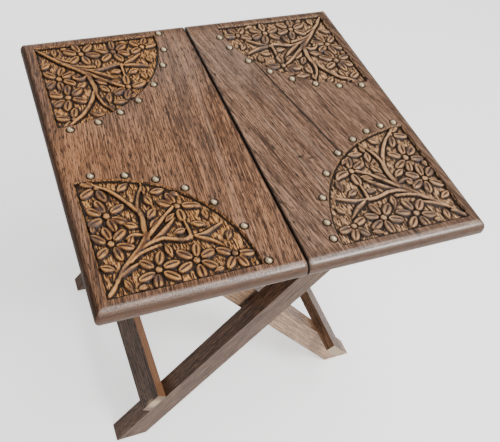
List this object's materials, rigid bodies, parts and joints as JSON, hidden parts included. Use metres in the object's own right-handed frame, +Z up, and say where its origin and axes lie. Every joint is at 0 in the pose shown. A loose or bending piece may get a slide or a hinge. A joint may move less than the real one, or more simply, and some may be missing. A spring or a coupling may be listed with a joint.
{
  "type": "folding carved wooden table stand",
  "caption": "Low folding stand of carved dark wood: a square two-leaf top with a carved quarter circle and round studs at each corner, on crossed legs.",
  "frame": {"origin": "on the floor under the middle of the top", "axes": "+Z up, +X to the right across the two leaves, +Y from the front edge to the rear edge"},
  "size_m": [0.381, 0.381, 0.3724],
  "materials": {
    "top_left": "carved and waxed hardwood, brown with dark crevices",
    "top_right": "carved and waxed hardwood, darker brown",
    "outer_frame_wood": "waxed hardwood, worn edges",
    "inner_frame_wood": "waxed hardwood, dry and a little grey",
    "cleat_wood": "plain hardwood",
    "stud_metal": "pale, dulled brass",
    "hinge_brass": "dull brass",
    "steel": "dull zinc-plated steel"
  },
  "bodies": {
    "left_leaf_body": {"leaf_left": "top_left", "studs_near_left": "stud_metal", "studs_far_left": "stud_metal", "left_cleat_front": "cleat_wood", "left_cleat_rear": "cleat_wood", "left_cleat_screws": "steel", "left_hinge_plate_front": "hinge_brass", "left_hinge_plate_rear": "hinge_brass", "hinge_pin_front": "steel", "hinge_pin_rear": "steel", "left_hinge_screws": "steel"},
    "right_leaf_body": {"leaf_right": "top_right", "studs_near_right": "stud_metal", "studs_far_right": "stud_metal", "right_cleat_front": "cleat_wood", "right_cleat_rear": "cleat_wood", "right_cleat_screws": "steel", "right_hinge_plate_front": "hinge_brass", "right_hinge_plate_rear": "hinge_brass", "right_hinge_screws": "steel"},
    "outer_frame": {"outer_leg_front": "outer_frame_wood", "outer_leg_rear": "outer_frame_wood", "outer_stretcher": "outer_frame_wood", "outer_stretcher_nails": "steel", "outer_leg_pin_front": "steel", "outer_leg_pin_rear": "steel", "outer_leg_washers": "steel", "cross_insert_front": "hinge_brass", "cross_insert_rear": "hinge_brass"},
    "inner_frame": {"inner_leg_front": "inner_frame_wood", "inner_leg_rear": "inner_frame_wood", "inner_stretcher": "inner_frame_wood", "inner_stretcher_nails": "steel", "inner_leg_pin_front": "steel", "inner_leg_pin_rear": "steel", "inner_leg_washers": "steel", "cross_bolt_front": "steel", "cross_bolt_rear": "steel", "cross_spacers": "steel"}
  },
  "joints": [
    {"name": "seam_hinge", "type": "hinge", "parent": "left_leaf_body", "child": "right_leaf_body", "pos_m": [0, 0, 0.3466], "axis": [0, 1, 0], "range_deg": [0, 165.06]},
    {"name": "outer_frame_hinge", "type": "hinge", "parent": "right_leaf_body", "child": "outer_frame", "pos_m": [0.10797, 0, 0.334], "axis": [0, -1, 0], "range_deg": [0, 119.8]},
    {"name": "inner_frame_hinge", "type": "hinge", "parent": "left_leaf_body", "child": "inner_frame", "pos_m": [-0.10797, 0, 0.334], "axis": [0, 1, 0], "range_deg": [0, 119.8]}
  ],
  "couplings": [
    {"joint": "outer_frame_hinge", "follows": "seam_hinge", "ratio": 0.72538},
    {"joint": "inner_frame_hinge", "follows": "seam_hinge", "ratio": 0.72538}
  ]
}
